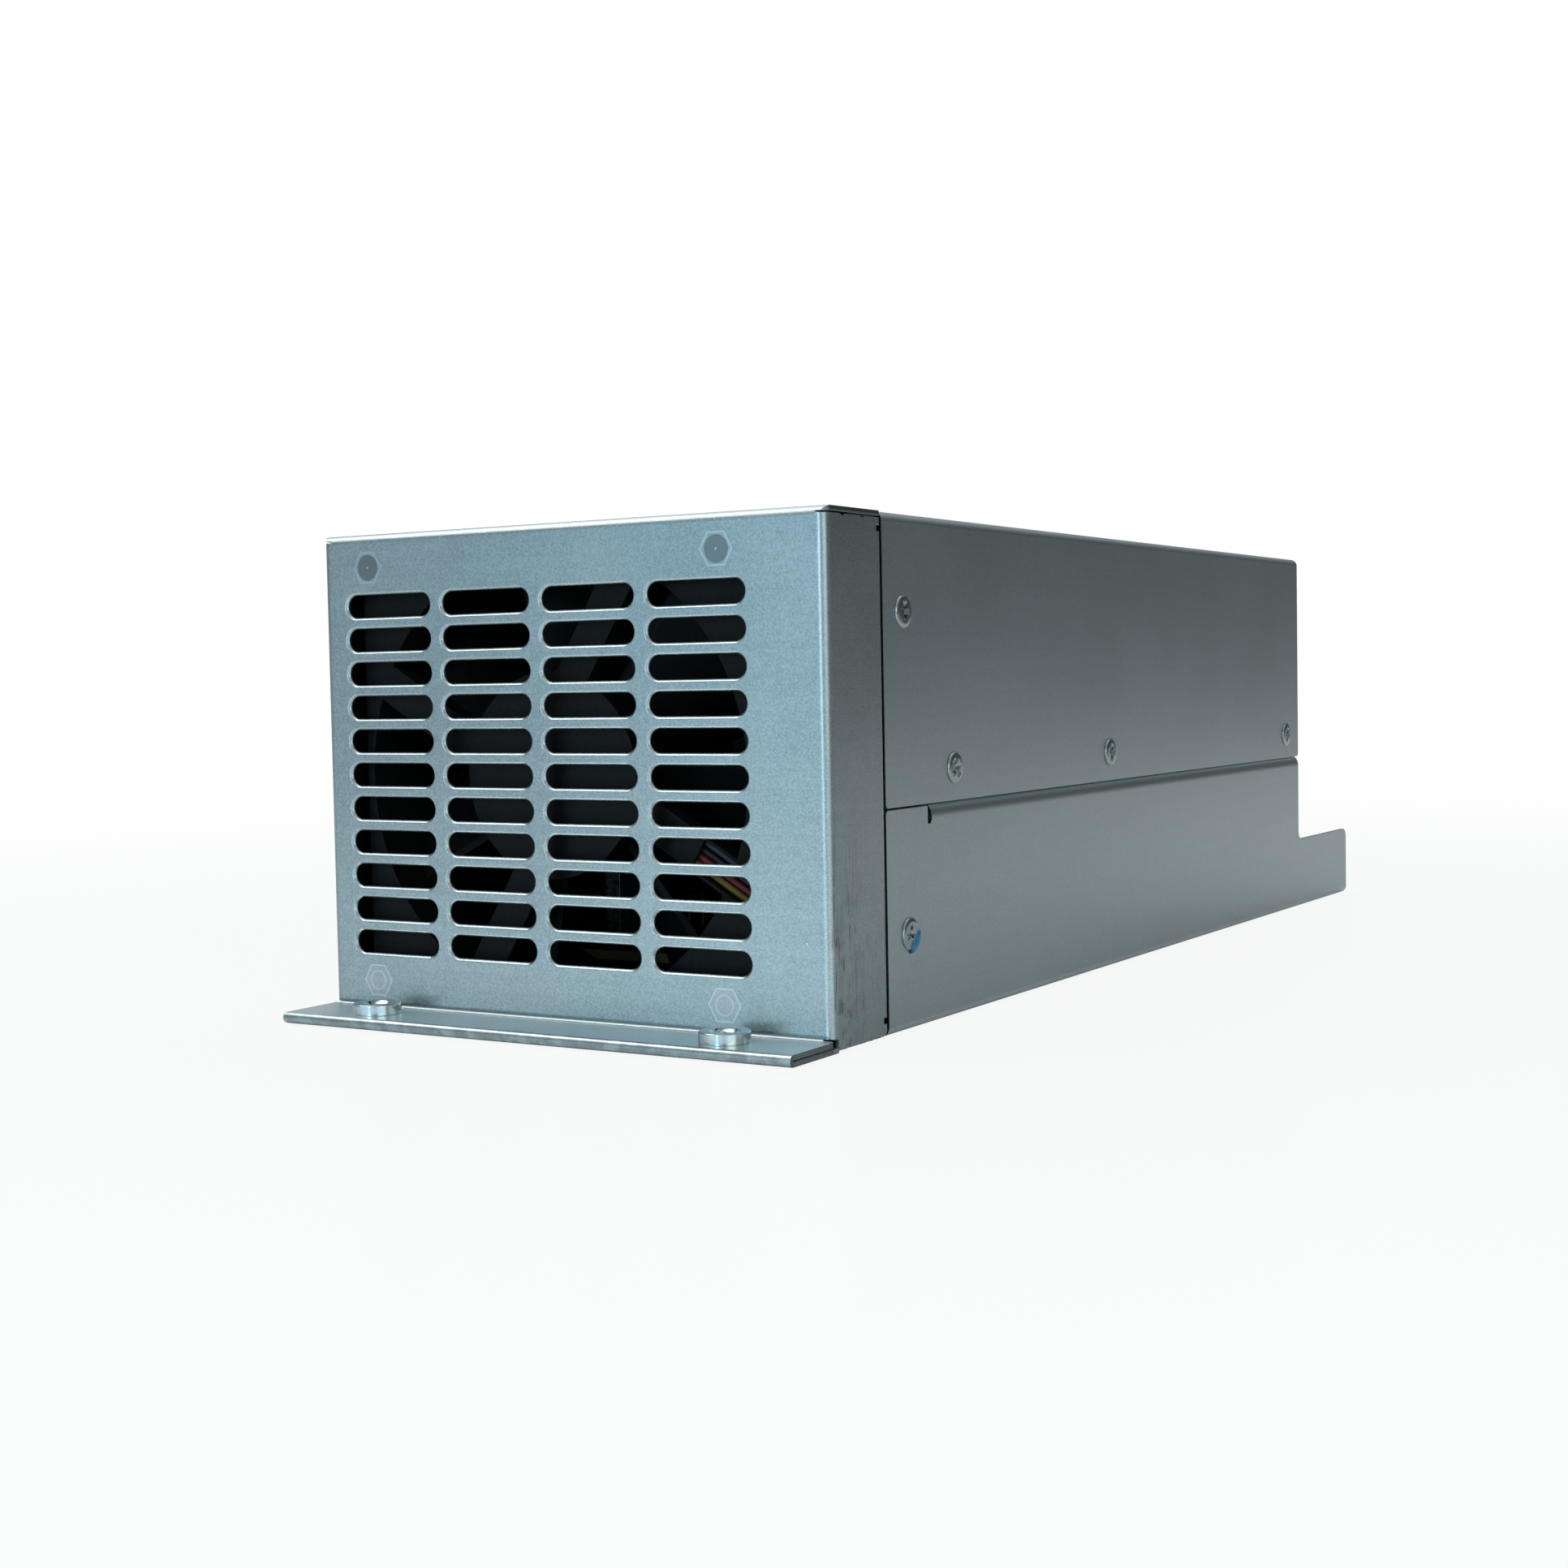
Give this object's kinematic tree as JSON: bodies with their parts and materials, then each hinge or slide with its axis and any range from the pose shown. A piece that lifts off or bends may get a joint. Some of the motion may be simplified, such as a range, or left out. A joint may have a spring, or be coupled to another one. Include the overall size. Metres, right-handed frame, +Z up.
{
  "type": "charger power module",
  "caption": "Long folded sheet steel power module with a slotted fan grille, hemmed foot with clinch nuts, screwed cover and a low rear tongue for its terminals.",
  "frame": {"origin": "under the middle of the whole length and width, on the plane that the case stands on", "axes": "+Z up, +Y from the fan grille to the rear tongue, +X to the right of someone facing the grille"},
  "size_m": [0.1204, 0.321, 0.0965],
  "materials": {
    "zinc_sheet": "galvanised sheet, satin",
    "zinc_hardware": "bright zinc plate",
    "black_plastic": "moulded, fine grain",
    "bright_steel": "ground",
    "magnet": "bonded ferrite",
    "stator_core": "laminations with windings",
    "lead_yellow": "soft insulation",
    "lead_red": "soft insulation",
    "lead_black": "soft insulation",
    "lead_blue": "soft insulation",
    "white_plastic": "moulded",
    "circuit_board": "solder resist",
    "insulating_film": "thin film",
    "heatsink_metal": "extruded",
    "moulded_package": "moulded epoxy",
    "ferrite": "pressed ferrite",
    "copper_winding": "enamelled wire",
    "capacitor_sleeve": "dark sleeve on an aluminium can",
    "film_box": "moulded box",
    "fuse_ceramic": "ceramic tube with plated caps",
    "tinned_brass": "tinned"
  },
  "bodies": {
    "chassis": {"board_screws": "zinc_hardware", "board_standoffs": "zinc_hardware", "bridge_rectifier": "moulded_package", "bulk_capacitors": "capacitor_sleeve", "chassis_tray": "zinc_sheet", "clinch_nuts": "zinc_hardware", "control_board": "circuit_board", "control_chips": "moulded_package", "control_header": "black_plastic", "cover_screws": "zinc_hardware", "device_screws": "zinc_hardware", "fan_bearings": "bright_steel", "fan_frame": "black_plastic", "fan_header": "white_plastic", "fan_lead_black": "lead_black", "fan_lead_blue": "lead_blue", "fan_lead_red": "lead_red", "fan_lead_yellow": "lead_yellow", "fan_plug": "white_plastic", "fan_screws": "zinc_hardware", "fan_standoffs": "zinc_hardware", "fan_stator": "stator_core", "film_capacitors": "film_box", "filter_choke": "copper_winding", "foot_nuts": "zinc_hardware", "front_panel": "zinc_sheet", "fuse_clips": "tinned_brass", "input_fuse": "fuse_ceramic", "inrush_relay": "white_plastic", "insulating_sheet": "insulating_film", "left_heatsink": "heatsink_metal", "main_board": "circuit_board", "output_capacitors": "capacitor_sleeve", "output_rectifiers": "moulded_package", "power_choke": "copper_winding", "rear_panel": "zinc_sheet", "right_heatsink": "heatsink_metal", "signal_connector": "black_plastic", "switch_transistors": "moulded_package", "terminal_block": "black_plastic", "terminal_plates": "tinned_brass", "terminal_screws": "zinc_hardware", "top_cover": "zinc_sheet", "transformer_core": "ferrite", "transformer_winding": "copper_winding", "tray_screws": "zinc_hardware"},
    "fan_rotor": {"fan_impeller": "black_plastic", "fan_shaft": "bright_steel", "fan_magnet": "magnet"}
  },
  "joints": [
    {"name": "fan_spin", "type": "hinge", "parent": "chassis", "child": "fan_rotor", "pos_m": [-0.0055, -0.12245, 0.0486], "axis": [0, 1, 0], "continuous": true}
  ]
}
